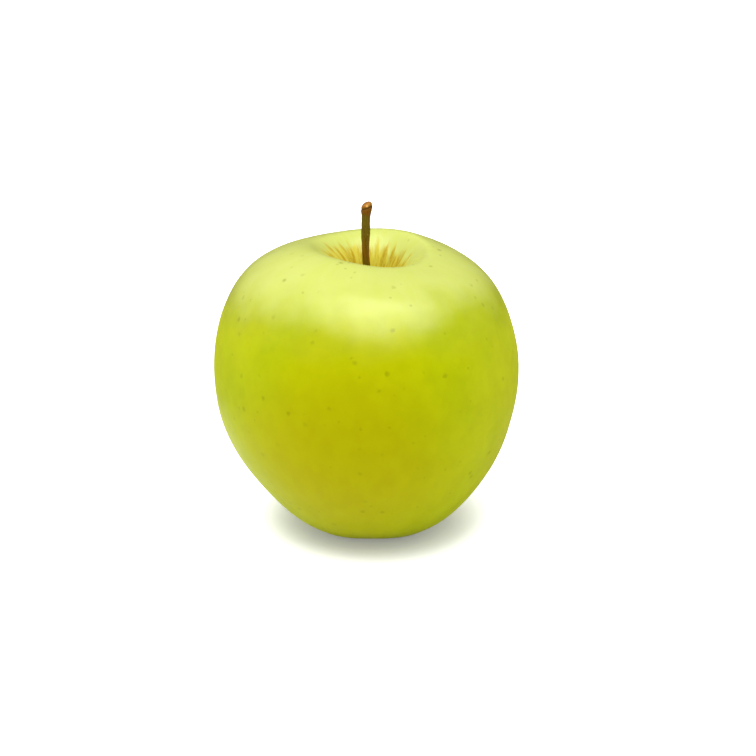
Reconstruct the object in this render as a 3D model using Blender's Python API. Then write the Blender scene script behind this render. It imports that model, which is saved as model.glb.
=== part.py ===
"""A whole yellow-green dessert apple: the fruit, its woody stem and its dried calyx.

The fruit stands on its calyx end, as it does on a table. +Z runs up to the stem, the near side is
towards -Y, and the origin is at the middle of the foot, on the surface that carries the fruit.
Sizes are in millimetres and are turned into metres as each mesh is made.
"""
import math

import bmesh
import bpy
import numpy as np

MM = 0.001

# Driving sizes of the fruit
GIRTH_RADIUS = 37.5
CREST_HEIGHT = 70.6
CAVITY_DEPTH = 13.0
BASIN_DEPTH = 6.6
RIB_COUNT = 5
RIB_HEIGHT = 0.25   # how far the ribs stand out at the foot
RIB_TURN = 36       # degrees from the middle of the near side to the first rib
FOOT_PRESS = 0.15   # how far the fruit's weight flattens its foot

# How uneven the fruit is
CREST_SIDE = -0.57      # the crest is higher on the left than on the right
CREST_NEAR = -0.80      # and higher at the back than at the front
CREST_CORNER = -0.74    # and highest at the front left and back right
CAVITY_SHIFT = 3.0      # the cavity's mouth lies right of the middle
FLOOR_SHARE = 0.475     # the cavity's floor shifts by this share of it
CROWN_SHIFT = -0.6      # the top sways left
FOOT_SHIFT = 1.5        # and the foot sways right

# Segments and rings of the fruit's mesh
FRUIT_SEGMENTS = 80
RING_SPACING = 3.0

# Stem, standing in a socket in the cavity's floor
FIT_GAP = 0.3       # between pieces that touch
SOCKET_RADIUS = 1.7
SOCKET_DEPTH = 3.0
STEM_TOP = 81.1
STEM_RADIUS = 1.0
KNOB_RADIUS = 1.42

# Calyx, the dried sepals in the basin under the fruit
SEPAL_COUNT = 5
SEPAL_LENGTH = 6.0
SEPAL_THICKNESS = 0.5
CALYX_RADIUS = 1.9
SEPALS_PARTED = 0.8     # length over which the sepals still hold together at their base
SEPAL_START_DIP = 100   # degrees below level at the base, so they first close together
SEPAL_END_DIP = 0       # and at the tip, so they then curl outwards

# Places worked out from the sizes above
CREST_RADIUS = 0.409 * GIRTH_RADIUS
FOOT_RADIUS = 0.33 * GIRTH_RADIUS
CAVITY_FLOOR = CREST_HEIGHT - CAVITY_DEPTH


def ease(value, start, end):
    """Go smoothly from 0 at start to 1 at end."""
    share = np.clip((value - start) / (end - start), 0.0, 1.0)
    return share * share * (3.0 - 2.0 * share)


def smooth_line(stations, spacing):
    """Read a natural cubic spline through the stations, a point about every spacing.

    The square roots of the distances are its knots, which keeps tight bends from overshooting.
    """
    stations = np.array(stations, dtype=float)
    lengths = np.linalg.norm(np.diff(stations, axis=0), axis=1)
    knots = np.sqrt(lengths)
    count = len(stations)
    system = np.eye(count)
    turn = np.zeros_like(stations)
    for i in range(1, count - 1):
        before, after = knots[i - 1], knots[i]
        system[i, i - 1:i + 2] = before, 2 * (before + after), after
        turn[i] = 6 * ((stations[i + 1] - stations[i]) / after - (stations[i] - stations[i - 1]) / before)
    bend = np.linalg.solve(system, turn)
    points = [stations[0]]
    for i, knot in enumerate(knots):
        steps = max(1, round(lengths[i] / spacing))
        for step in range(1, steps + 1):
            b = step / steps
            a = 1.0 - b
            bow = ((a ** 3 - a) * bend[i] + (b ** 3 - b) * bend[i + 1]) * knot * knot / 6
            points.append(a * stations[i] + b * stations[i + 1] + bow)
    return points


def fruit_outline():
    """Radius and height along the skin, from the stem's socket over the crest to the basin's middle."""
    socket = [(0.0, CAVITY_FLOOR - SOCKET_DEPTH), (SOCKET_RADIUS, CAVITY_FLOOR - SOCKET_DEPTH)]
    skin = [
        (SOCKET_RADIUS, CAVITY_FLOOR),
        (0.28 * CREST_RADIUS, CREST_HEIGHT - 0.84 * CAVITY_DEPTH),
        (0.47 * CREST_RADIUS, CREST_HEIGHT - 0.45 * CAVITY_DEPTH),
        (0.82 * CREST_RADIUS, CREST_HEIGHT - 0.06 * CAVITY_DEPTH),
        (CREST_RADIUS, CREST_HEIGHT),
        (0.722 * GIRTH_RADIUS, 0.931 * CREST_HEIGHT),
        (0.933 * GIRTH_RADIUS, 0.767 * CREST_HEIGHT),
        (GIRTH_RADIUS, 0.591 * CREST_HEIGHT),
        (0.970 * GIRTH_RADIUS, 0.414 * CREST_HEIGHT),
        (0.867 * GIRTH_RADIUS, 0.264 * CREST_HEIGHT),
        (0.702 * GIRTH_RADIUS, 0.133 * CREST_HEIGHT),
        (0.537 * GIRTH_RADIUS, 0.045 * CREST_HEIGHT),
        (FOOT_RADIUS, 0.0),
        (0.67 * FOOT_RADIUS, 0.36 * BASIN_DEPTH),
        (0.37 * FOOT_RADIUS, 0.82 * BASIN_DEPTH),
        (0.15 * FOOT_RADIUS, BASIN_DEPTH),
    ]
    basin_middle = [(0.0, BASIN_DEPTH)]
    return socket + smooth_line(skin, RING_SPACING) + basin_middle


def grow(radius, height, angle):
    """Turn a point of the plain round fruit into its place on the uneven one.

    The angle runs from the near side towards the right.
    """
    share = height / CREST_HEIGHT
    wave = math.cos(RIB_COUNT * (angle - math.radians(RIB_TURN)))

    # Ribs swell the lower half and roll over the foot into the basin
    rib_reach = 0.12 + 0.88 * (1 - ease(share, 0.05, 0.65))
    rib_reach *= ease(radius, 4.0, 13.0) * ease(1 - share, 0.0, 0.12)
    radius_here = radius + RIB_HEIGHT * rib_reach * wave
    near_foot = math.exp(-((radius - FOOT_RADIUS) / 9.0) ** 2) * (1 - ease(share, 0.0, 0.22))
    height_here = height + 0.5 * RIB_HEIGHT * near_foot * (1 - wave)

    # The crest rises and falls round the cavity, and the socket stays level
    near_crest = math.exp(-((radius - CREST_RADIUS) / 13.0) ** 2) * ease(share, 0.6, 0.9)
    near_crest *= ease(radius, SOCKET_RADIUS, 7.0)
    lift = CREST_SIDE * math.sin(angle) + CREST_NEAR * math.cos(angle) + CREST_CORNER * math.sin(2 * angle)
    height_here += near_crest * lift

    # The cavity, the top and the foot each lie a little off the middle
    in_cavity = (1 - ease(radius, 6.0, 20.0)) * ease(share, 0.6, 0.8)
    in_cavity *= FLOOR_SHARE + (1 - FLOOR_SHARE) * ease(radius, SOCKET_RADIUS, 9.0)
    sideways = CAVITY_SHIFT * in_cavity
    sideways += CROWN_SHIFT * ease(share, 0.55, 1.0)
    sideways += FOOT_SHIFT * (1 - ease(share, 0.0, 0.45))

    height_here = max(height_here, FOOT_PRESS) - FOOT_PRESS
    return (radius_here * math.sin(angle) + sideways, -radius_here * math.cos(angle), height_here)


def finish(name, colour, roughness):
    """Make a plain material."""
    material = bpy.data.materials.new(name)
    material.use_nodes = True
    shader = material.node_tree.nodes["Principled BSDF"]
    shader.inputs["Base Color"].default_value = (*colour, 1.0)
    shader.inputs["Roughness"].default_value = roughness
    shader.inputs["Metallic"].default_value = 0.0
    return material


def add_piece(name, mesh, material):
    """Put a mesh into the scene as a smooth piece."""
    mesh.materials.append(material)
    mesh.shade_smooth()
    mesh.set_sharp_from_angle(angle=math.radians(50))
    piece = bpy.data.objects.new(name, mesh)
    bpy.context.scene.collection.objects.link(piece)
    return piece


def make_fruit():
    """Spin the outline into a round fruit, then grow it uneven."""
    shape = bmesh.new()
    line = [shape.verts.new((0.0, -radius, height)) for radius, height in fruit_outline()]
    edges = [shape.edges.new(pair) for pair in zip(line, line[1:])]
    bmesh.ops.spin(shape, geom=line + edges, cent=(0, 0, 0), axis=(0, 0, 1), angle=math.tau,
                   steps=FRUIT_SEGMENTS, use_merge=True)
    bmesh.ops.remove_doubles(shape, verts=shape.verts, dist=0.001)
    for vert in shape.verts:
        radius = math.hypot(vert.co.x, vert.co.y)
        angle = math.atan2(vert.co.x, -vert.co.y)
        vert.co = grow(radius, vert.co.z, angle)
    bmesh.ops.recalc_face_normals(shape, faces=shape.faces)
    bmesh.ops.scale(shape, vec=(MM, MM, MM), verts=shape.verts)
    mesh = bpy.data.meshes.new("fruit")
    shape.to_mesh(mesh)
    shape.free()
    add_piece("fruit", mesh, finish("skin", (0.47, 0.49, 0.02), 0.38))


def make_stem():
    """Sweep a bowed, tapering round tube from the socket up to the knob that held the fruit to its spur."""
    foot_radius = SOCKET_RADIUS - FIT_GAP
    foot_x, _, floor = grow(0.0, CAVITY_FLOOR, 0.0)
    # Each station is x, y, height and radius
    stations = [
        (foot_x, 0.0, floor - SOCKET_DEPTH + FIT_GAP, foot_radius),
        (foot_x, 0.0, floor, foot_radius),
        (foot_x - 0.2, -0.1, floor + 3.0, 1.12 * STEM_RADIUS),
        (foot_x - 0.8, -0.3, floor + 7.0, 0.94 * STEM_RADIUS),
        (foot_x - 1.2, -0.5, STEM_TOP - 11.5, 0.90 * STEM_RADIUS),
        (foot_x - 1.15, -0.3, STEM_TOP - 7.0, 1.08 * STEM_RADIUS),
        (foot_x - 1.1, 0.0, STEM_TOP - 4.0, 1.07 * STEM_RADIUS),
        (foot_x - 0.95, 0.2, STEM_TOP - 2.8, 0.88 * KNOB_RADIUS),
        (foot_x - 0.9, 0.3, STEM_TOP - 1.7, KNOB_RADIUS),
        (foot_x - 0.9, 0.3, STEM_TOP - 0.6, 0.82 * KNOB_RADIUS),
        (foot_x - 0.95, 0.3, STEM_TOP, 0.40 * KNOB_RADIUS),
    ]
    points = smooth_line(stations, 1.0)
    curve = bpy.data.curves.new("stem", "CURVE")
    curve.dimensions = "3D"
    curve.bevel_depth = STEM_RADIUS * MM
    curve.bevel_resolution = 4
    curve.use_fill_caps = True
    run = curve.splines.new("POLY")
    run.points.add(len(points) - 1)
    for place, (x, y, height, radius) in zip(run.points, points):
        place.co = (x * MM, y * MM, height * MM, 1.0)
        place.radius = radius / STEM_RADIUS
    curve.materials.append(finish("stem_wood", (0.20, 0.11, 0.03), 0.45))
    piece = bpy.data.objects.new("stem", curve)
    bpy.context.scene.collection.objects.link(piece)


def sepal_ring(shape, share, outside):
    """Add one ring of the sepals' verts, at a share of the way from their joined base to their tips."""
    middle_x, _, basin_top = grow(0.0, BASIN_DEPTH, 0.0)
    base = basin_top - FIT_GAP - SEPAL_THICKNESS
    segments = SEPAL_COUNT * 10
    start = math.radians(SEPAL_START_DIP)
    end = math.radians(SEPAL_END_DIP)
    arc_radius = SEPAL_LENGTH / (start - end)
    verts = []
    for step in range(segments):
        turn = step / segments * SEPAL_COUNT
        point = 1 - 2 * abs(turn - round(turn))
        reach = share * (SEPALS_PARTED + (SEPAL_LENGTH - SEPALS_PARTED) * point)
        dip = start - reach / arc_radius
        radius = CALYX_RADIUS + arc_radius * (math.sin(start) - math.sin(dip))
        height = base - arc_radius * (math.cos(dip) - math.cos(start))
        if outside:
            radius += SEPAL_THICKNESS * math.sin(dip)
            height += SEPAL_THICKNESS * math.cos(dip)
        angle = math.tau * step / segments
        verts.append(shape.verts.new((middle_x + radius * math.cos(angle), radius * math.sin(angle), height)))
    return verts


def make_calyx():
    """Raise five pointed sepals from one round base: they first close together, then curl outwards."""
    rows = 6
    shape = bmesh.new()
    outer = [sepal_ring(shape, row / rows, True) for row in range(rows + 1)]
    inner = [sepal_ring(shape, row / rows, False) for row in range(rows + 1)]
    lid = [shape.verts.new((vert.co.x, vert.co.y, vert.co.z + SEPAL_THICKNESS)) for vert in outer[0]]
    rings = [lid] + outer + inner[::-1]
    for first, second in zip(rings, rings[1:]):
        for step in range(len(lid)):
            after = (step + 1) % len(lid)
            shape.faces.new((first[step], first[after], second[after], second[step]))
    shape.faces.new(lid)
    shape.faces.new(inner[0])
    bmesh.ops.recalc_face_normals(shape, faces=shape.faces)
    bmesh.ops.scale(shape, vec=(MM, MM, MM), verts=shape.verts)
    mesh = bpy.data.meshes.new("calyx")
    shape.to_mesh(mesh)
    shape.free()
    add_piece("calyx", mesh, finish("dried_sepal", (0.20, 0.14, 0.07), 0.8))


for old in list(bpy.data.objects):
    bpy.data.objects.remove(old)
make_fruit()
make_stem()
make_calyx()
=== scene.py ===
import math
import random

import bmesh
import bpy
import numpy as np
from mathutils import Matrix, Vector, noise


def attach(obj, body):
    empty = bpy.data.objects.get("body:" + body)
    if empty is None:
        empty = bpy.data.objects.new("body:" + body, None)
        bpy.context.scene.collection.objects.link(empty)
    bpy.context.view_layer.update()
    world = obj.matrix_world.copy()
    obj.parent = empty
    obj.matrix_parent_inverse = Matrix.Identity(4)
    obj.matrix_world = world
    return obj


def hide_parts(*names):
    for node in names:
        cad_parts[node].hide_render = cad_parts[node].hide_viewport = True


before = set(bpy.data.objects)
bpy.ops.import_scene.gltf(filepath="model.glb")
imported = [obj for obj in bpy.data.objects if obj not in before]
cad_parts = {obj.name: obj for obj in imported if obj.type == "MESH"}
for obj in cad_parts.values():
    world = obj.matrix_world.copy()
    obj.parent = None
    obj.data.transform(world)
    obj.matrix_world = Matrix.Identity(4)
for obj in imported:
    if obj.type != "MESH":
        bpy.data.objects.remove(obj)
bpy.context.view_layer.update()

# The fruit.
# One fleshy body that swelled round its core, with a deep cavity for the stem, uneven shoulders, and soft
# ribs that meet round the basin underneath. Its thin skin is waxy, greener where leaves shaded it, with
# corky breathing dots, and fine tan russet that runs out of the cavity in rays. Its crown is paler, partly
# its own colour and partly painted top light and a painted highlight, and a golden blush low on the near
# side is also darkened with painted shade.
MM = 0.001
GIRTH_RADIUS = 37.5
CREST_HEIGHT = 70.6
CAVITY_DEPTH = 13.0
BASIN_DEPTH = 6.6
CREST_RADIUS = 0.409 * GIRTH_RADIUS
FOOT_RADIUS = 0.33 * GIRTH_RADIUS
CAVITY_FLOOR = CREST_HEIGHT - CAVITY_DEPTH
SOCKET_RADIUS = 1.7                 # the hole in the cavity's floor that the stem grows out of
SOCKET_DEPTH = 3.0
RIB_COUNT = 5
RIB_HEIGHT = 0.25
RIB_TURN = math.radians(36)         # where the first rib lies, from the near side towards +X
FOOT_PRESS = 0.15                   # how much of the foot its weight presses flat
CREST_SIDE = -0.57                  # how much the crest rises on the right,
CREST_NEAR = -0.80                  # on the near side,
CREST_CORNER = -0.74                # and at its near right and far left
CAVITY_SHIFT = 3.0                  # how far the cavity lies to the right,
FLOOR_SHARE = 0.475                 # the share of that for its floor,
CROWN_SHIFT = -0.6                  # and how far to the right the crown lies,
FOOT_SHIFT = 1.5                    # and the foot
SKIN_SEGMENTS = 400                 # steps round the fruit,
SKIN_SPACING = 0.68                 # and from one ring of the mesh to the next
WELD_DISTANCE = 0.001               # points closer than this become one
LEAF_GREEN = (0.39, 0.46, 0.001)
YELLOW_GREEN = (0.435, 0.475, 0.001)
GOLDEN_WITH_PAINTED_SHADE = (0.405, 0.375, 0.001)
DEEP_GREEN = (0.30, 0.34, 0.001)
PALE_GREEN = (0.54, 0.59, 0.003)
PALE_CROWN_AND_PAINTED_LIGHT = (0.63, 0.69, 0.18)
DOT_OLIVE = (0.17, 0.17, 0.001)
RUSSET_GOLD = (0.62, 0.50, 0.040)
RUSSET_TAN = (0.43, 0.28, 0.008)
PATCH_SIZE = 26.0                   # of the two greens,
FLECK_SIZE = 7.0                    # of the pale flecks,
MOTTLE_SIZE = 2.6                   # and of the dark mottle
RIPE_AND_PAINTED_SHADE_PLACE = (-5.0, -34.0, 28.0)    # where the skin is golden and darker, low on the near side: its own blush, with painted shade
RIPE_AND_PAINTED_SHADE_FULL = 8.0
RIPE_AND_PAINTED_SHADE_REACH = 35.0
CROWN_START = 57.0                  # height where the skin starts to pale: its own colour with painted top light and highlight
CROWN_FULL = 68.0                   # and where it is palest
WAX_START = 51.5                    # height where the bloom of loose wax starts
WAX_FULL = 61.0                     # and where it is thickest
EDGE_WAVE = 9.0                     # how long and how high the waves in those edges are
STEM_PLACE = (1.1, 0.0, 0.0)        # the upright line that streaks and russet run out from
RAY_TURNS = 9.0                     # how finely they divide round it
RAY_ALONG = 0.18                    # and how slowly they change up and down
BIG_DOT = (5.6, 0.85)               # how far apart the dots are, and how wide
SMALL_DOT = (3.8, 0.50)
BIG_DOT_SHADE = 0.48
SMALL_DOT_SHADE = 0.34
DOT_BEND = 0.9                      # how far the dots are drawn out of round
DOTS_END = 14.0                     # where the dots fade out towards the stem
DOTS_GONE = 10.0
RUSSET_REACH = 11.6                 # how far the longest russet rays run out from the stem
RUSSET_SOLID = 8.2                  # and how far out they still cover all of the skin
RUSSET_WAVE = 10.0                  # how much one ray can differ from another
RUSSET_LEAN = 0.09                  # how much shorter they get with each millimetre to the right
RUSSET_LOWEST = 45.0                # no russet lies below this height,
RUSSET_CLEAR = 52.0                 # and it isn't held back above this one


def ease(value, start, end):
    """Go smoothly from 0 at start to 1 at end."""
    share = np.clip((value - start) / (end - start), 0.0, 1.0)
    return share * share * (3.0 - 2.0 * share)


def smooth_line(stations, spacing):
    """Read a natural cubic spline through the stations, a point about every spacing."""
    stations = np.array(stations, dtype=float)
    lengths = np.linalg.norm(np.diff(stations, axis=0), axis=1)
    knots = np.sqrt(lengths)
    count = len(stations)
    system = np.eye(count)
    turn = np.zeros_like(stations)
    for i in range(1, count - 1):
        before, after = knots[i - 1], knots[i]
        system[i, i - 1:i + 2] = before, 2 * (before + after), after
        turn[i] = 6 * ((stations[i + 1] - stations[i]) / after - (stations[i] - stations[i - 1]) / before)
    bend = np.linalg.solve(system, turn)
    points = [stations[0]]
    for i, knot in enumerate(knots):
        steps = max(1, round(lengths[i] / spacing))
        for step in range(1, steps + 1):
            b = step / steps
            a = 1.0 - b
            bow = ((a ** 3 - a) * bend[i] + (b ** 3 - b) * bend[i + 1]) * knot * knot / 6
            points.append(a * stations[i] + b * stations[i + 1] + bow)
    return points


def fruit_outline():
    """Radius and height along the skin, from the stem's socket over the crest to the basin's middle."""
    socket = [(SOCKET_RADIUS * step / 4, CAVITY_FLOOR - SOCKET_DEPTH) for step in range(4)]
    socket += [(SOCKET_RADIUS, CAVITY_FLOOR - SOCKET_DEPTH * (1 - step / 5)) for step in range(5)]
    skin = smooth_line([
        (SOCKET_RADIUS, CAVITY_FLOOR),
        (0.28 * CREST_RADIUS, CREST_HEIGHT - 0.84 * CAVITY_DEPTH),
        (0.47 * CREST_RADIUS, CREST_HEIGHT - 0.45 * CAVITY_DEPTH),
        (0.82 * CREST_RADIUS, CREST_HEIGHT - 0.06 * CAVITY_DEPTH),
        (CREST_RADIUS, CREST_HEIGHT),
        (0.722 * GIRTH_RADIUS, 0.931 * CREST_HEIGHT),
        (0.933 * GIRTH_RADIUS, 0.767 * CREST_HEIGHT),
        (GIRTH_RADIUS, 0.591 * CREST_HEIGHT),
        (0.970 * GIRTH_RADIUS, 0.414 * CREST_HEIGHT),
        (0.867 * GIRTH_RADIUS, 0.264 * CREST_HEIGHT),
        (0.702 * GIRTH_RADIUS, 0.133 * CREST_HEIGHT),
        (0.537 * GIRTH_RADIUS, 0.045 * CREST_HEIGHT),
        (FOOT_RADIUS, 0.0),
        (0.67 * FOOT_RADIUS, 0.36 * BASIN_DEPTH),
        (0.37 * FOOT_RADIUS, 0.82 * BASIN_DEPTH),
        (0.15 * FOOT_RADIUS, BASIN_DEPTH),
    ], SKIN_SPACING)
    inner_radius = skin[-1][0]
    basin_middle = [(inner_radius * (1 - step / 4), BASIN_DEPTH) for step in range(1, 5)]
    return socket + skin + basin_middle


def grow(radius, height, angle):
    """Turn points of a plain round fruit into their places on the uneven one, as x, y and z columns."""
    share = height / CREST_HEIGHT
    wave = np.cos(RIB_COUNT * (angle - RIB_TURN))

    # Ribs swell the lower half and roll over the foot into the basin
    rib_reach = 0.12 + 0.88 * (1 - ease(share, 0.05, 0.65))
    rib_reach *= ease(radius, 4.0, 13.0) * ease(1 - share, 0.0, 0.12)
    radius_here = radius + RIB_HEIGHT * rib_reach * wave
    near_foot = np.exp(-((radius - FOOT_RADIUS) / 9.0) ** 2) * (1 - ease(share, 0.0, 0.22))
    height_here = height + 0.5 * RIB_HEIGHT * near_foot * (1 - wave)

    # The crest rises and falls round the cavity, and the socket stays level
    near_crest = np.exp(-((radius - CREST_RADIUS) / 13.0) ** 2) * ease(share, 0.6, 0.9)
    near_crest *= ease(radius, SOCKET_RADIUS, 7.0)
    lift = CREST_SIDE * np.sin(angle) + CREST_NEAR * np.cos(angle) + CREST_CORNER * np.sin(2 * angle)
    height_here += near_crest * lift

    # The cavity, the top and the foot each lie a little off the middle
    in_cavity = (1 - ease(radius, 6.0, 20.0)) * ease(share, 0.6, 0.8)
    in_cavity *= FLOOR_SHARE + (1 - FLOOR_SHARE) * ease(radius, SOCKET_RADIUS, 9.0)
    sideways = CAVITY_SHIFT * in_cavity
    sideways += CROWN_SHIFT * ease(share, 0.55, 1.0)
    sideways += FOOT_SHIFT * (1 - ease(share, 0.0, 0.45))

    x = radius_here * np.sin(angle) + sideways
    y = -radius_here * np.cos(angle)
    z = np.maximum(height_here, FOOT_PRESS) - FOOT_PRESS
    return np.stack([x, y, z], axis=-1)


def lumps(places, size, seed):
    """Soft random lumps of about the given size at each place, from -1 to 1."""
    shift = Vector((seed * 7.3, seed * 3.1, seed * 5.7))
    return np.array([noise.noise(Vector(place) / size + shift) for place in places])


def relief(radius, height, angle, places):
    """How far the skin sinks below the plain form, in millimetres."""
    share = height / CREST_HEIGHT
    # Broad flats and hollows that bend the gloss on the shoulders and sides
    sink = 0.16 + 0.16 * lumps(places, 17.0, 1)
    sink += 0.05 + 0.05 * lumps(places, 6.0, 2)
    # Radial folds in the cavity, deepest near the stem
    in_cavity = ease(share, 0.72, 0.80) * (1 - ease(radius, 4.0, 13.0)) * ease(radius, SOCKET_RADIUS, 2.6)
    ray = np.stack([np.sin(angle), np.cos(angle), radius * 0.03], axis=-1)
    sink += in_cavity * (0.30 + 0.45 * lumps(ray, 0.30, 3) + 0.18 * lumps(ray, 0.12, 4))
    # Pleats in the basin, where the skin is gathered round the calyx
    in_basin = (1 - ease(share, 0.10, 0.16)) * (1 - ease(radius, 4.0, 12.0)) * ease(radius, 0.0, 3.0)
    sink += in_basin * (0.35 + 0.50 * lumps(ray, 0.45, 5) + 0.16 * lumps(ray, 0.16, 6))
    # The foot stays where it stands
    return sink * ease(places[:, 2], 0.0, 2.5)


def set_down(shape, name):
    """Make a finished shape a smooth piece of the scene."""
    bmesh.ops.recalc_face_normals(shape, faces=shape.faces)
    mesh = bpy.data.meshes.new(name)
    shape.to_mesh(mesh)
    shape.free()
    mesh.shade_smooth()
    piece = bpy.data.objects.new(name, mesh)
    bpy.context.scene.collection.objects.link(piece)
    return piece


def make_fruit():
    """Spin the outline, grow it uneven, and press the fine relief into it."""
    shape = bmesh.new()
    line = [shape.verts.new((0.0, -radius, height)) for radius, height in fruit_outline()]
    edges = [shape.edges.new(pair) for pair in zip(line, line[1:])]
    bmesh.ops.spin(shape, geom=line + edges, cent=(0, 0, 0), axis=(0, 0, 1), angle=math.tau,
                   steps=SKIN_SEGMENTS, use_merge=True)
    bmesh.ops.remove_doubles(shape, verts=shape.verts, dist=WELD_DISTANCE)
    piece = set_down(shape, "fruit_skin")

    mesh = piece.data
    plain = np.zeros(len(mesh.vertices) * 3)
    mesh.vertices.foreach_get("co", plain)
    plain = plain.reshape(-1, 3)
    radius = np.hypot(plain[:, 0], plain[:, 1])
    angle = np.arctan2(plain[:, 0], -plain[:, 1])
    places = grow(radius, plain[:, 2], angle)
    mesh.vertices.foreach_set("co", places.ravel())
    mesh.update()
    outward = np.zeros(len(mesh.vertices) * 3)
    mesh.vertex_normals.foreach_get("vector", outward)
    places -= outward.reshape(-1, 3) * relief(radius, plain[:, 2], angle, places)[:, None]
    places[:, 2] = np.maximum(places[:, 2], 0.0)
    mesh.vertices.foreach_set("co", (places * MM).ravel())
    mesh.update()
    return piece


def add_step(recipe, kind, feeds=None, **settings):
    """Add one step to a finish's recipe, with what feeds it."""
    step = recipe.nodes.new(kind)
    for name, value in settings.items():
        setattr(step, name, value)
    for name, value in (feeds or {}).items():
        if isinstance(value, bpy.types.NodeSocket):
            recipe.links.new(value, step.inputs[name])
        else:
            step.inputs[name].default_value = value
    return step


def work(recipe, operation, first, second=0.0, third=0.0):
    """One sum on numbers."""
    step = add_step(recipe, "ShaderNodeMath", {0: first, 1: second, 2: third}, operation=operation)
    return step.outputs[0]


def work_places(recipe, operation, first, second=(0.0, 0.0, 0.0)):
    """One sum on places. It gives a place, or a number where a length, distance or dot product is asked."""
    step = add_step(recipe, "ShaderNodeVectorMath", {0: first, 1: second}, operation=operation)
    gives_number = operation in ("LENGTH", "DISTANCE", "DOT_PRODUCT")
    return step.outputs["Value" if gives_number else "Vector"]


def coordinate(recipe, place, axis):
    """One coordinate of a place, by the axis's letter."""
    return add_step(recipe, "ShaderNodeSeparateXYZ", {0: place}).outputs[axis]


def new_finish(name):
    """Start a finish: its material, recipe and shader, and places on the piece in millimetres."""
    material = bpy.data.materials.new(name)
    material.use_nodes = True
    recipe = material.node_tree
    shader = recipe.nodes["Principled BSDF"]
    corner = add_step(recipe, "ShaderNodeTexCoord").outputs["Object"]
    place = work_places(recipe, "MULTIPLY", corner, (1 / MM, 1 / MM, 1 / MM))
    return material, recipe, shader, place


def cloud(recipe, place, size, detail, seed):
    """Soft random patches of about the given size."""
    feeds = {"Vector": place, "W": seed, "Scale": 1.0 / size, "Detail": detail, "Roughness": 0.55}
    return add_step(recipe, "ShaderNodeTexNoise", feeds, noise_dimensions="4D").outputs["Fac"]


def fade(recipe, value, start, end, low=0.0, high=1.0):
    """Go smoothly from low at start to high at end."""
    feeds = {"Value": value, "From Min": start, "From Max": end, "To Min": low, "To Max": high}
    step = add_step(recipe, "ShaderNodeMapRange", feeds, interpolation_type="SMOOTHSTEP")
    return step.outputs["Result"]


def tint(recipe, share, under, over):
    """Lay one colour over another by a share."""
    step = add_step(recipe, "ShaderNodeMix", data_type="RGBA")
    for socket, value in zip((step.inputs[0], step.inputs[6], step.inputs[7]), (share, under, over)):
        if isinstance(value, bpy.types.NodeSocket):
            recipe.links.new(value, socket)
        elif isinstance(value, tuple):
            socket.default_value = (*value, 1.0)
        else:
            socket.default_value = value
    return step.outputs[2]


def add_bump(recipe, shader, raised, unit):
    """Raise the finish's surface by so many units."""
    bump = add_step(recipe, "ShaderNodeBump", {"Height": raised, "Strength": 1.0, "Distance": unit})
    recipe.links.new(bump.outputs[0], shader.inputs["Normal"])


def rays(recipe, place, middle, turns, along):
    """Coordinates that run in rays out of an upright line: fine round it and long beside it."""
    offset = work_places(recipe, "SUBTRACT", place, middle)
    flat = work_places(recipe, "MULTIPLY", offset, (1.0, 1.0, 0.0))
    distance = work_places(recipe, "LENGTH", flat)
    way = work_places(recipe, "NORMALIZE", flat)
    round_it = work_places(recipe, "MULTIPLY", way, (turns, turns, turns))
    beside = work_places(recipe, "MULTIPLY", offset, (0.0, 0.0, along))
    ray = work_places(recipe, "ADD", round_it, beside)
    return ray, distance, coordinate(recipe, offset, "Z")


def waver(recipe, value, patches, span):
    """Let a value waver with soft patches, by up to half of the span each way."""
    return work(recipe, "MULTIPLY_ADD", work(recipe, "SUBTRACT", patches, 0.5), span, value)


def dots(recipe, place, spacing, size, seed):
    """Round dots at random places on the skin, 1 in their middle."""
    shifted = work_places(recipe, "ADD", place, (seed, seed, seed))
    feeds = {"Vector": shifted, "Scale": 1.0 / spacing, "Randomness": 1.0}
    distance = add_step(recipe, "ShaderNodeTexVoronoi", feeds).outputs["Distance"]
    return fade(recipe, distance, size / spacing, 0.15 * size / spacing)


def skin_colours_and_painted_light(recipe, place, ray, wavy_height):
    """Mix the skin's greens and faint streaks, a golden blush low on the near side that holds painted shade,
    and a pale crown that holds painted top light and a painted highlight.
    """
    patches = fade(recipe, cloud(recipe, place, PATCH_SIZE, 2.0, 3.0), 0.38, 0.62)
    flecks = fade(recipe, cloud(recipe, place, FLECK_SIZE, 3.0, 5.0), 0.35, 0.65, 0.0, 0.20)
    mottle = fade(recipe, cloud(recipe, place, MOTTLE_SIZE, 3.0, 8.0), 0.35, 0.65, 0.0, 0.16)
    colour = tint(recipe, patches, LEAF_GREEN, YELLOW_GREEN)
    colour = tint(recipe, flecks, colour, PALE_GREEN)
    colour = tint(recipe, mottle, colour, DEEP_GREEN)
    # A golden blush low on the near side, darker than the greens: the skin's own colour with painted shade
    from_ripe_and_painted_shade = work_places(recipe, "DISTANCE", place, RIPE_AND_PAINTED_SHADE_PLACE)
    colour = tint(recipe, fade(recipe, from_ripe_and_painted_shade, RIPE_AND_PAINTED_SHADE_REACH, RIPE_AND_PAINTED_SHADE_FULL, 0.0, 0.95), colour, GOLDEN_WITH_PAINTED_SHADE)
    # A paler, bluer crown: partly the skin's own colour, partly painted top light and a painted highlight
    crown = fade(recipe, wavy_height, CROWN_START, CROWN_FULL, 0.0, 0.85)
    colour = tint(recipe, crown, colour, PALE_CROWN_AND_PAINTED_LIGHT)
    streak = fade(recipe, cloud(recipe, ray, 1.0, 3.0, 1.0), 0.35, 0.65, 0.0, 0.14)
    return tint(recipe, streak, colour, PALE_GREEN)


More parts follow.
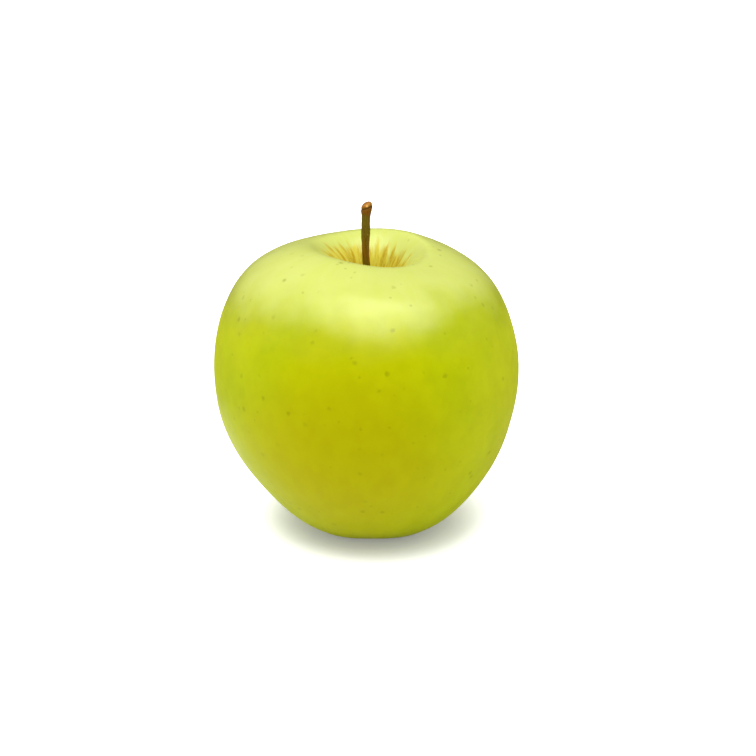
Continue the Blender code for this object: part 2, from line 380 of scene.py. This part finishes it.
def corky_dots(recipe, place, distance):
    """Scatter big and small dots, a little out of round and some of them faint, but none in the cavity."""
    feeds = {"Vector": place, "Scale": 1.4, "Detail": 2.0}
    bend = add_step(recipe, "ShaderNodeTexNoise", feeds).outputs["Color"]
    bend = work_places(recipe, "MULTIPLY", bend, (DOT_BEND, DOT_BEND, DOT_BEND))
    wavy = work_places(recipe, "ADD", place, bend)
    strength = fade(recipe, cloud(recipe, place, 5.0, 2.0, 12.0), 0.35, 0.65, 0.45, 1.0)
    big_dot = work(recipe, "MULTIPLY", dots(recipe, wavy, *BIG_DOT, 11.0), strength)
    big_dot = work(recipe, "MULTIPLY", big_dot, BIG_DOT_SHADE)
    small_dot = work(recipe, "MULTIPLY", dots(recipe, wavy, *SMALL_DOT, 23.0), SMALL_DOT_SHADE)
    dot = work(recipe, "MAXIMUM", big_dot, small_dot)
    return work(recipe, "MULTIPLY", dot, fade(recipe, distance, DOTS_GONE, DOTS_END))


def russet_rays(recipe, place, ray, distance, height):
    """How far russet covers the skin in the cavity, and how dark its threads are."""
    ray_end = waver(recipe, distance, cloud(recipe, ray, 0.8, 3.0, 7.0), -RUSSET_WAVE)
    ray_end = work(recipe, "MULTIPLY_ADD", coordinate(recipe, place, "X"), RUSSET_LEAN, ray_end)
    cover = fade(recipe, ray_end, RUSSET_REACH, RUSSET_SOLID)
    cover = work(recipe, "MULTIPLY", cover, fade(recipe, height, RUSSET_LOWEST, RUSSET_CLEAR))
    thread = fade(recipe, cloud(recipe, ray, 0.8, 4.0, 2.0), 0.43, 0.60)
    thread = work(recipe, "MAXIMUM", thread, fade(recipe, distance, 9.0, 4.0, 0.0, 0.45))
    return cover, work(recipe, "MULTIPLY", thread, cover)


def make_skin_finish():
    """Mix the skin from greens and golds with painted light and shade, its dots, its russet and its wax."""
    material, recipe, shader, place = new_finish("waxy_skin")
    ray, distance, height = rays(recipe, place, STEM_PLACE, RAY_TURNS, RAY_ALONG)
    wavy_height = waver(recipe, height, cloud(recipe, place, EDGE_WAVE, 2.0, 6.0), EDGE_WAVE)
    dot = corky_dots(recipe, place, distance)
    cover, russet = russet_rays(recipe, place, ray, distance, height)
    colour = skin_colours_and_painted_light(recipe, place, ray, wavy_height)
    colour = tint(recipe, dot, colour, DOT_OLIVE)
    colour = tint(recipe, work(recipe, "MULTIPLY", cover, 0.80), colour, RUSSET_GOLD)
    colour = tint(recipe, work(recipe, "MULTIPLY", russet, 0.85), colour, RUSSET_TAN)
    recipe.links.new(colour, shader.inputs["Base Color"])

    # Wax is smoother than russet and cork
    polish = fade(recipe, cloud(recipe, place, 3.0, 3.0, 9.0), 0.3, 0.7, 0.36, 0.44)
    cork = work(recipe, "MULTIPLY", work(recipe, "MAXIMUM", russet, dot), 0.65)
    recipe.links.new(work(recipe, "MAXIMUM", polish, cork), shader.inputs["Roughness"])

    # Fine grain of the skin, raised dots and rough russet
    grain = cloud(recipe, place, 0.55, 2.0, 4.0)
    raised = work(recipe, "MULTIPLY_ADD", dot, 0.020, work(recipe, "MULTIPLY", grain, 0.010))
    raised = work(recipe, "MULTIPLY_ADD", work(recipe, "MULTIPLY", russet, grain), 0.12, raised)
    add_bump(recipe, shader, raised, MM)

    # Wax lies thickest round the stem end, but not on russet
    wax = fade(recipe, wavy_height, WAX_START, WAX_FULL)
    bare = work(recipe, "SUBTRACT", 1.0, work(recipe, "MULTIPLY", cover, 0.9))
    recipe.links.new(work(recipe, "MULTIPLY", wax, bare), shader.inputs["Coat Weight"])
    shader.inputs["Coat Roughness"].default_value = 0.25
    shader.inputs["IOR"].default_value = 1.45
    shader.inputs["Specular IOR Level"].default_value = 0.16
    shader.inputs["Specular Tint"].default_value = (1.0, 1.0, 0.0, 1.0)

    # A faint bloom of wax dust keeps the edges from darkening, and a little light goes into the flesh
    shader.inputs["Sheen Weight"].default_value = 0.20
    shader.inputs["Sheen Roughness"].default_value = 0.35
    shader.inputs["Sheen Tint"].default_value = (1.0, 0.97, 0.0, 1.0)
    shader.inputs["Subsurface Weight"].default_value = 0.10
    shader.inputs["Subsurface Radius"].default_value = (1.0, 0.9, 0.1)
    shader.inputs["Subsurface Scale"].default_value = 3.0 * MM
    return material


fruit_skin = make_fruit()
fruit_skin.data.materials.append(make_skin_finish())
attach(fruit_skin, "root")
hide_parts("fruit")

# The stem.
# The woody stalk that carried the fruit: olive and red-brown bark, dried into lengthwise wrinkles. It grows
# out of the cavity's floor, bows a little, and ends in the slanted knob that broke off its spur.
FIT_GAP = 0.3                       # between the flesh and what is set in it
STEM_TOP = 81.1
STEM_RADIUS = 1.0
KNOB_RADIUS = 1.42
KNOB_SLANT = 0.55                   # how far the knob's rim rises and falls
SCAR_FACES = math.radians(205)      # the way the scar looks, from +X towards +Y
SCAR_RADIUS = 0.66 * KNOB_RADIUS
SCAR_DEPTH = 0.30
SCAR_PLACE = (0.0, -0.1, STEM_TOP)
GROOVE_HEIGHT = STEM_TOP - 1.25     # the ring round the knob, where its cap broke off the spur
GROOVE_DEPTH = 0.14
GROOVE_WIDTH = 0.22
SPLINTER_PLACE = (0.20, -0.95, STEM_TOP - 0.75)
KNOB_START = STEM_TOP - 2.8         # the height where the bark turns into the knob's,
KNOB_FULL = STEM_TOP - 1.8          # and where it has
KNOB_SLOPE = KNOB_SLANT / KNOB_RADIUS
# The way up through the knob, square to its slanted rim
KNOB_LEVEL = (KNOB_SLOPE * math.cos(SCAR_FACES), KNOB_SLOPE * math.sin(SCAR_FACES), 1.0)
STEM_SIDES = 72
STEM_SPACING = 0.16
OLIVE_BARK = (0.14, 0.105, 0.006)
RED_BARK = (0.22, 0.095, 0.004)
DARK_BARK = (0.060, 0.035, 0.006)
KNOB_BARK = (0.27, 0.105, 0.012)
KNOB_RED = (0.19, 0.072, 0.006)
CORK_AND_PAINTED_HIGHLIGHT = (0.50, 0.24, 0.050)
SPLINTER_WOOD = (0.85, 0.48, 0.14)
OLIVE_START = 67.5                  # the bark is red below this height,
OLIVE_FULL = 75.5                   # and olive above this one
FOOT_START = 69.0                   # and it turns olive again from here
FOOT_FULL = 66.5                    # down to here
BARK_WAVE = 8.0                     # how high the waves in those edges are


def stem_line():
    """Places and radii up the stem: x, y, height and radius."""
    foot_radius = SOCKET_RADIUS - FIT_GAP
    foot_x, _, floor = grow(0.0, CAVITY_FLOOR, 0.0)
    rim = STEM_TOP - KNOB_SLANT * SCAR_RADIUS / KNOB_RADIUS
    line = smooth_line([
        (foot_x, 0.0, floor - SOCKET_DEPTH + FIT_GAP, foot_radius),
        (foot_x, 0.0, floor - 0.2, foot_radius + 0.15),
        (foot_x, 0.0, floor + 0.5, SOCKET_RADIUS + 0.02),
        (foot_x - 0.2, -0.1, floor + 3.0, 1.12 * STEM_RADIUS),
        (foot_x - 0.8, -0.3, floor + 7.0, 0.94 * STEM_RADIUS),
        (foot_x - 1.2, -0.5, STEM_TOP - 11.5, 0.90 * STEM_RADIUS),
        (foot_x - 1.15, -0.3, STEM_TOP - 7.0, 1.08 * STEM_RADIUS),
        (foot_x - 1.1, 0.0, STEM_TOP - 4.0, 1.07 * STEM_RADIUS),
        (foot_x - 0.95, 0.2, rim - 2.2, 0.88 * KNOB_RADIUS),
        (foot_x - 0.9, 0.3, rim - 1.2, KNOB_RADIUS),
        (foot_x - 0.9, 0.3, rim - 0.4, 0.90 * KNOB_RADIUS),
        (foot_x - 0.95, 0.3, rim, SCAR_RADIUS),
    ], STEM_SPACING)
    # The scar sinks in towards a small plug of fibres in its middle
    for share in (0.92, 0.84, 0.72, 0.58, 0.44, 0.30, 0.16, 0.04):
        plug = 0.5 * SCAR_DEPTH * math.exp(-(share / 0.28) ** 2)
        sunk = SCAR_DEPTH * (1 - share ** 4) - plug
        line.append(np.array((foot_x - 0.95, 0.3, rim - sunk, share * SCAR_RADIUS)))
    return np.array(line)


def loft(shape, rings):
    """Skin a form over its rings of points, and shut both its ends."""
    for low, high in zip(rings, rings[1:]):
        for i in range(len(low)):
            shape.faces.new((low[i - 1], low[i], high[i], high[i - 1]))
    shape.faces.new(rings[0][::-1])
    shape.faces.new(rings[-1])


def make_stem():
    """Loft rings up the stem, slant the knob, and wrinkle the bark."""
    line = stem_line()
    around = np.arange(STEM_SIDES) * math.tau / STEM_SIDES
    x, y, height, radius = (column[:, None] for column in line.T)
    side = np.stack([np.cos(around), np.sin(around)])
    spots = np.stack(np.broadcast_arrays(side[0], side[1], height * 0.09), axis=-1).reshape(-1, 3)
    ridges = lumps(spots, 0.50, 11).reshape(len(line), -1)
    wrinkles = lumps(spots, 0.16, 12).reshape(len(line), -1)
    knots = lumps(spots * (1.0, 1.0, 9.0), 0.9, 13).reshape(len(line), -1)
    swell = 0.055 * ridges + 0.035 * wrinkles + 0.05 * knots - 0.03
    groove = GROOVE_DEPTH * np.exp(-((height - GROOVE_HEIGHT) / GROOVE_WIDTH) ** 2)
    shape_radius = radius * (1 + swell) - groove
    slant = KNOB_SLANT * ease(height, STEM_TOP - 5.0, STEM_TOP - 1.5) * radius / KNOB_RADIUS
    rise = height - slant * np.cos(around - SCAR_FACES)
    columns = np.broadcast_arrays(x + shape_radius * side[0], y + shape_radius * side[1], rise)
    places = np.stack(columns, axis=-1)

    shape = bmesh.new()
    loft(shape, [[shape.verts.new(place * MM) for place in ring] for ring in places])
    return set_down(shape, "stem_bark")


def bark_colour(recipe, height, streak, fibre):
    """Mix the bark: olive above and at the foot, red-brown between them, and streaked lengthwise."""
    wavy_height = waver(recipe, height, streak, BARK_WAVE)
    olive = fade(recipe, wavy_height, OLIVE_START, OLIVE_FULL)
    foot = fade(recipe, wavy_height, FOOT_START, FOOT_FULL, 0.0, 0.9)
    colour = tint(recipe, olive, RED_BARK, OLIVE_BARK)
    colour = tint(recipe, foot, colour, OLIVE_BARK)
    colour = tint(recipe, fade(recipe, streak, 0.52, 0.68, 0.0, 0.55), colour, RED_BARK)
    return tint(recipe, fade(recipe, fibre, 0.50, 0.66, 0.0, 0.65), colour, DARK_BARK)


def knob_colour(recipe, place, height, streak, bark):
    """Lay the knob over the bark: redder below its dark groove, with a cork scar and a pale splinter.
    The scar's pale cork on the knob's top also holds a painted highlight.
    """
    knob = fade(recipe, work(recipe, "MULTIPLY_ADD", streak, 1.5, height), KNOB_START, KNOB_FULL)
    level = work_places(recipe, "DOT_PRODUCT", place, KNOB_LEVEL)
    cap = tint(recipe, fade(recipe, level, GROOVE_HEIGHT - 0.3, GROOVE_HEIGHT + 0.3), KNOB_RED, KNOB_BARK)
    colour = tint(recipe, knob, bark, cap)
    # The pale cork over the knob's top: the scar's own colour and a painted highlight
    from_scar = work_places(recipe, "DISTANCE", place, SCAR_PLACE)
    colour = tint(recipe, fade(recipe, from_scar, 1.35, 0.75, 0.0, 0.8), colour, CORK_AND_PAINTED_HIGHLIGHT)
    from_groove = work(recipe, "ABSOLUTE", work(recipe, "SUBTRACT", level, GROOVE_HEIGHT))
    colour = tint(recipe, fade(recipe, from_groove, 0.32, 0.08, 0.0, 0.8), colour, DARK_BARK)
    from_splinter = work_places(recipe, "DISTANCE", place, SPLINTER_PLACE)
    return tint(recipe, fade(recipe, from_splinter, 0.45, 0.15, 0.0, 0.85), colour, SPLINTER_WOOD)


def make_bark_finish():
    """Mix the stem's finish: satin bark with sunken fibres and raised cork specks."""
    material, recipe, shader, place = new_finish("bark")
    along = work_places(recipe, "MULTIPLY", place, (1.0, 1.0, 0.10))
    height = coordinate(recipe, place, "Z")
    streak = cloud(recipe, along, 0.55, 3.0, 1.0)
    fibre = cloud(recipe, along, 0.16, 3.0, 2.0)
    speck = dots(recipe, place, 1.6, 0.28, 5.0)
    colour = bark_colour(recipe, height, streak, fibre)
    colour = knob_colour(recipe, place, height, streak, colour)
    colour = tint(recipe, work(recipe, "MULTIPLY", speck, 0.45), colour, CORK_AND_PAINTED_HIGHLIGHT)
    recipe.links.new(colour, shader.inputs["Base Color"])
    recipe.links.new(fade(recipe, fibre, 0.35, 0.65, 0.36, 0.58), shader.inputs["Roughness"])
    raised = work(recipe, "MULTIPLY_ADD", speck, 0.04, work(recipe, "MULTIPLY", fibre, -0.10))
    add_bump(recipe, shader, raised, MM)
    shader.inputs["Specular IOR Level"].default_value = 0.22
    shader.inputs["Specular Tint"].default_value = (1.0, 0.7, 0.2, 1.0)
    return material


stem_bark = make_stem()
stem_bark.data.materials.append(make_bark_finish())
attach(stem_bark, "root")
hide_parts("stem")

# The calyx.
# Five small leaves that once shut the flower bud. They are joined to the fruit by one base in the basin, and
# have dried grey-brown: they close together over the eye, then curl back at their downy tips.
SEPAL_COUNT = 5
SEPAL_LENGTH = 6.0
SEPAL_THICKNESS = 0.45
CALYX_RADIUS = 1.9
SEPALS_PARTED = 0.8                     # how far from the base the leaves part
SEPAL_START_DIP = math.radians(100)     # how steeply they point down at their base,
SEPAL_END_DIP = 0.0                     # and at their tips
SEPAL_SEGMENTS = 48
SEPAL_ROWS = 44
SEPAL_BROWN = (0.17, 0.115, 0.050)
SEPAL_DARK = (0.065, 0.040, 0.018)
SEPAL_DOWN = (0.36, 0.31, 0.21)


def sepal_ring(share, outside):
    """One ring of the sepals' places, at a share of the way from their joined base to their tips."""
    middle_x, _, basin_top = grow(0.0, BASIN_DEPTH, 0.0)
    base = basin_top - FIT_GAP - SEPAL_THICKNESS
    arc_radius = SEPAL_LENGTH / (SEPAL_START_DIP - SEPAL_END_DIP)
    turn = np.arange(SEPAL_COUNT * SEPAL_SEGMENTS) / SEPAL_SEGMENTS
    angle = math.tau * turn / SEPAL_COUNT
    point = 1 - 2 * np.abs(turn - np.round(turn))
    reach = share * (SEPALS_PARTED + (SEPAL_LENGTH - SEPALS_PARTED) * point ** 0.85)
    dip = SEPAL_START_DIP - reach / arc_radius
    radius = CALYX_RADIUS + arc_radius * (math.sin(SEPAL_START_DIP) - np.sin(dip))
    height = base - arc_radius * (np.cos(dip) - math.cos(SEPAL_START_DIP))

    # Each sepal is a little dished, its midrib stands out, and it dried into soft creases
    spots = np.stack([np.cos(angle) * 2.5, np.sin(angle) * 2.5, reach * 0.5], axis=-1)
    crease = 0.22 * lumps(spots, 0.8, 21) + 0.10 * lumps(spots, 0.3, 22)
    midrib = 0.16 * np.exp(-((1 - point) / 0.10) ** 2)
    dish = -0.25 * (1 - point) * share
    proud = ease(share, 0.0, 0.2) * (crease + midrib + dish)
    if outside:
        proud = proud + SEPAL_THICKNESS * (1 - 0.6 * share)
    radius = radius + proud * np.sin(dip)
    height = height + proud * np.cos(dip)
    return np.stack([middle_x + radius * np.cos(angle), radius * np.sin(angle), height], axis=-1)


def make_sepals():
    """Raise the sepals from their base as one thin shell, outside and inside."""
    shares = np.linspace(0.0, 1.0, SEPAL_ROWS + 1)
    outer = [sepal_ring(share, True) for share in shares]
    inner = [sepal_ring(share, False) for share in shares]
    lid = outer[0] + (0.0, 0.0, SEPAL_THICKNESS)
    shape = bmesh.new()
    loft(shape, [[shape.verts.new(place * MM) for place in ring] for ring in [lid] + outer + inner[::-1]])
    return set_down(shape, "calyx_sepals")


def make_sepal_finish():
    """Mix the dried leaf: brown with random darker patches, and grey down."""
    material, recipe, shader, place = new_finish("dried_leaf")
    patches = fade(recipe, cloud(recipe, place, 1.8, 3.0, 1.0), 0.40, 0.60)
    fibre = cloud(recipe, place, 0.22, 3.0, 2.0)
    colour = tint(recipe, patches, SEPAL_DARK, SEPAL_BROWN)
    colour = tint(recipe, fade(recipe, fibre, 0.48, 0.66, 0.0, 0.7), colour, SEPAL_DOWN)
    recipe.links.new(colour, shader.inputs["Base Color"])
    recipe.links.new(fade(recipe, fibre, 0.3, 0.7, 0.75, 0.92), shader.inputs["Roughness"])
    add_bump(recipe, shader, fibre, 0.12 * MM)
    shader.inputs["Specular IOR Level"].default_value = 0.25
    return material


calyx_sepals = make_sepals()
calyx_sepals.data.materials.append(make_sepal_finish())
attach(calyx_sepals, "root")
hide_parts("calyx")

# The dried stamens.
# What is left of the flower: a tuft of thin dark threads, some still with their pollen heads. They stand in
# the eye, held in its middle, and their ends show between the sepals.
STAMEN_COUNT = 16
STAMEN_LENGTH = 3.2
STAMEN_RADIUS = 0.13
STAMEN_SIDES = 8
STAMEN_STEPS = 16
HEADED_SHARE = 0.6                  # how many of the threads keep their heads
HEAD_SWELL = 1.4
HEAD_PLACE = 0.93                   # along the thread
THREAD_BROWN = (0.10, 0.055, 0.020)
THREAD_TAN = (0.24, 0.15, 0.060)


def stamen_ring(shape, middle, radius):
    """One level ring of a thread."""
    ring = []
    for side in range(STAMEN_SIDES):
        angle = math.tau * side / STAMEN_SIDES
        place = (middle[0] + radius * math.cos(angle), middle[1] + radius * math.sin(angle), middle[2])
        ring.append(shape.verts.new(Vector(place) * MM))
    return ring


def grow_stamen(shape, draw):
    """Loft one bent, tapering thread from its own foot in the eye."""
    eye_x, _, basin_top = grow(0.0, BASIN_DEPTH, 0.0)
    angle = draw.uniform(0.0, math.tau)
    stand = draw.uniform(0.2, 0.9)
    lean = draw.uniform(-0.25, 0.45)
    length = STAMEN_LENGTH * draw.uniform(0.75, 1.0)
    bend = draw.uniform(-0.5, 0.5)
    has_head = draw.random() < HEADED_SHARE
    rings = []
    for step in range(STAMEN_STEPS + 1):
        share = step / STAMEN_STEPS
        out = stand + lean * length * share ** 2
        turn = angle + bend * share
        head = HEAD_SWELL * math.exp(-((share - HEAD_PLACE) / 0.06) ** 2) if has_head else 0.0
        radius = STAMEN_RADIUS * (1 - 0.5 * share + head) * (0.3 if step == STAMEN_STEPS else 1.0)
        height = basin_top - FIT_GAP - length * share
        middle = (eye_x + out * math.cos(turn), out * math.sin(turn), height)
        rings.append(stamen_ring(shape, middle, radius))
    loft(shape, rings)


def make_stamens():
    """Grow one thread after another."""
    draw = random.Random(5)
    shape = bmesh.new()
    for _ in range(STAMEN_COUNT):
        grow_stamen(shape, draw)
    return set_down(shape, "dried_stamens")


def make_thread_finish():
    """Mix the dry thread: dark brown with tan flecks."""
    material, recipe, shader, place = new_finish("dry_thread")
    fleck = cloud(recipe, place, 0.4, 3.0, 3.0)
    colour = tint(recipe, fade(recipe, fleck, 0.42, 0.62), THREAD_BROWN, THREAD_TAN)
    recipe.links.new(colour, shader.inputs["Base Color"])
    recipe.links.new(fade(recipe, fleck, 0.3, 0.7, 0.65, 0.85), shader.inputs["Roughness"])
    add_bump(recipe, shader, fleck, 0.05 * MM)
    return material


dried_stamens = make_stamens()
dried_stamens.data.materials.append(make_thread_finish())
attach(dried_stamens, "root")

# The floor and the light.
# A round paper-covered table in a light tent, under one soft box that the fruit's gloss doesn't mirror. The
# gloss shows one wide pale panel over the camera and the table's left side, and all else only dimly. The
# camera sees the table white, with a painted shadow under the fruit and a painted glow.
TABLE_RADIUS = 0.65                 # in metres, like the drop, the soft box and the camera
TABLE_DROP = 0.0001                 # so that its top lies just under the foot
TABLE_PALE = (0.90, 0.90, 0.90)     # the paper, for the soft light that it throws back
TABLE_DULL = (0.16, 0.16, 0.16)     # in the fruit's gloss, close to the fruit
TABLE_CARD = (0.85, 0.85, 0.85)     # and close to its left side
TABLE_DIM = (0.06, 0.06, 0.06)      # in the gloss, further out
TABLE_PAINTED_SHADOW = (0.69, 0.69, 0.73)     # in the picture, a painted shadow under the fruit
TABLE_WHITE = (1.33, 1.33, 1.52)    # and beside it, as the picture is exposed for white, bluer against the fruit's yellow bounce light
TABLE_PAINTED_GLOW = 0.20                   # a painted glow that only the camera sees, which lifts the shadow in the picture
SHADOW_MIDDLE = (FOOT_SHIFT, 0.0, 0.0)
CORE_EDGE = (17.0, 30.0)            # how far out the painted shadow's core ends and the white begins,
DIM_EDGE = (60.0, 140.0)            # the close part ends and the dim part begins,
CARD_EDGE = (-30.0, 30.0)           # and the left side ends and the right begins
NEAR_GLOW = 0.67                    # the wall behind the camera
LEFT_GLOW = 1.38                    # the wall on the left
RIGHT_GLOW = 1.29                   # and on the right
LEFT_DIM = 0.20                     # the left wall in the fruit's gloss
RIGHT_DIM = 0.03                    # and the right one
ROOF_GLOW = 0.82
NEAR_EDGE = (-0.9, -0.1)            # where the near wall ends and the side walls begin, as the way's Y,
SIDE_EDGE = (-0.7, 0.3)             # the left wall ends and the right one begins, as its X,
ROOF_EDGE = (0.15, 0.65)            # and the walls end and the roof begins, as its Z
SEEN_WHITE = 1.1                    # what the camera sees past the table
SOFT_BOX_GLOW = 3.6
SOFT_BOX_SIZE = (0.85, 0.80)
SOFT_BOX_PLACE = (-0.12, -0.18, 1.0)
SOFT_BOX_AIM = (0.0, 0.0, 0.04)
PANEL_GLOW = 3.6                    # the wide pale panel that the gloss mirrors
PANEL_WAY = (0.15, -0.44, 0.885)    # the way to its middle
PANEL_REACH = (0.66, 0.52, 0.52)    # how far it reaches sideways and up
PANEL_EDGE = (1.3, 0.7)             # and the shares of that where it fades out


def table_colour(recipe, place, path):
    """The paper as it throws light back, as the gloss mirrors it, and as the picture shows it, with a painted
    shadow under the fruit.
    """
    out = work_places(recipe, "DISTANCE", place, SHADOW_MIDDLE)
    close = tint(recipe, fade(recipe, coordinate(recipe, place, "X"), *CARD_EDGE), TABLE_CARD, TABLE_DULL)
    mirrored = tint(recipe, fade(recipe, out, *DIM_EDGE), close, TABLE_DIM)
    seen_with_painted_shadow = tint(recipe, fade(recipe, out, *CORE_EDGE), TABLE_PAINTED_SHADOW, TABLE_WHITE)
    colour = tint(recipe, path["Is Glossy Ray"], TABLE_PALE, mirrored)
    return tint(recipe, path["Is Camera Ray"], colour, seen_with_painted_shadow)


def make_table():
    """Lay the table's round top just under the fruit's foot."""
    shape = bmesh.new()
    bmesh.ops.create_circle(shape, cap_ends=True, segments=128, radius=TABLE_RADIUS)
    table = set_down(shape, "table")
    table.location.z = -TABLE_DROP
    material, recipe, shader, place = new_finish("matt_paper")
    path = add_step(recipe, "ShaderNodeLightPath").outputs
    recipe.links.new(table_colour(recipe, place, path), shader.inputs["Base Color"])
    # A painted glow that only the camera sees lifts the table's shadow
    painted_glow = work(recipe, "MULTIPLY", path["Is Camera Ray"], TABLE_PAINTED_GLOW)
    recipe.links.new(painted_glow, shader.inputs["Emission Strength"])
    shader.inputs["Emission Color"].default_value = (1.0, 1.0, 1.0, 1.0)
    shader.inputs["Roughness"].default_value = 0.8
    shader.inputs["Specular IOR Level"].default_value = 0.1
    table.data.materials.append(material)
    return table


def hang_soft_box():
    """Hang the soft rectangular light that faces the fruit. Its glow is how bright its face is."""
    width, depth = SOFT_BOX_SIZE
    data = bpy.data.lights.new("soft_box", "AREA")
    data.shape = "RECTANGLE"
    data.size = width
    data.size_y = depth
    data.energy = SOFT_BOX_GLOW * math.pi * width * depth
    lamp = bpy.data.objects.new("soft_box", data)
    lamp.location = SOFT_BOX_PLACE
    way = Vector(SOFT_BOX_AIM) - Vector(SOFT_BOX_PLACE)
    lamp.rotation_euler = way.to_track_quat("-Z", "Y").to_euler()
    lamp.visible_glossy = False
    bpy.context.scene.collection.objects.link(lamp)


def light_tent():
    """Make the tent: its walls and roof light the fruit, and the camera sees them plain white."""
    tent = bpy.data.worlds.new("light_tent")
    tent.use_nodes = True
    tent.cycles.sampling_method = "NONE"
    recipe = tent.node_tree
    way = add_step(recipe, "ShaderNodeTexCoord").outputs["Generated"]
    across, back, rise = add_step(recipe, "ShaderNodeSeparateXYZ", {0: way}).outputs
    path = add_step(recipe, "ShaderNodeLightPath").outputs
    wall = fade(recipe, across, *SIDE_EDGE, LEFT_GLOW, RIGHT_GLOW)
    wall = fade(recipe, back, *NEAR_EDGE, NEAR_GLOW, wall)
    lit = fade(recipe, rise, *ROOF_EDGE, wall, ROOF_GLOW)

    # The gloss mirrors its own, dimmer walls and the panel
    offset = work_places(recipe, "SUBTRACT", way, PANEL_WAY)
    reach = work_places(recipe, "LENGTH", work_places(recipe, "DIVIDE", offset, PANEL_REACH))
    dim_wall = fade(recipe, across, *SIDE_EDGE, LEFT_DIM, RIGHT_DIM)
    mirrored = fade(recipe, reach, *PANEL_EDGE, dim_wall, PANEL_GLOW)
    glow = fade(recipe, path["Is Glossy Ray"], 0.0, 1.0, lit, mirrored)
    white = work(recipe, "MULTIPLY", path["Is Camera Ray"], SEEN_WHITE)
    backdrop = recipe.nodes["Background"].inputs
    backdrop["Color"].default_value = (1.0, 1.0, 1.0, 1.0)
    recipe.links.new(work(recipe, "MAXIMUM", glow, white), backdrop["Strength"])
    return tent


make_table()
hang_soft_box()
bpy.context.scene.world = light_tent()
bpy.context.scene.view_settings.view_transform = "Standard"

# The camera.
# It stands a third of a metre off and looks a little down onto the near shoulder.
CAMERA_DISTANCE = 0.330
CAMERA_RISE = math.radians(20.0)
LOOK_DOWN = math.radians(19.5)
LOOK_RIGHT = math.radians(0.52)
FRUIT_MIDDLE = 0.034
LENS_LENGTH = 63.45
SENSOR_WIDTH = 36.0

lens = bpy.data.cameras.new("camera")
lens.lens = LENS_LENGTH
lens.sensor_width = SENSOR_WIDTH
lens.clip_start = 0.01
camera = bpy.data.objects.new("camera", lens)
camera_near = -CAMERA_DISTANCE * math.cos(CAMERA_RISE)
camera_up = FRUIT_MIDDLE + CAMERA_DISTANCE * math.sin(CAMERA_RISE)
camera.location = (0.0, camera_near, camera_up)
camera.rotation_euler = (math.pi / 2 - LOOK_DOWN, 0.0, -LOOK_RIGHT)
bpy.context.scene.collection.objects.link(camera)
bpy.context.scene.camera = camera
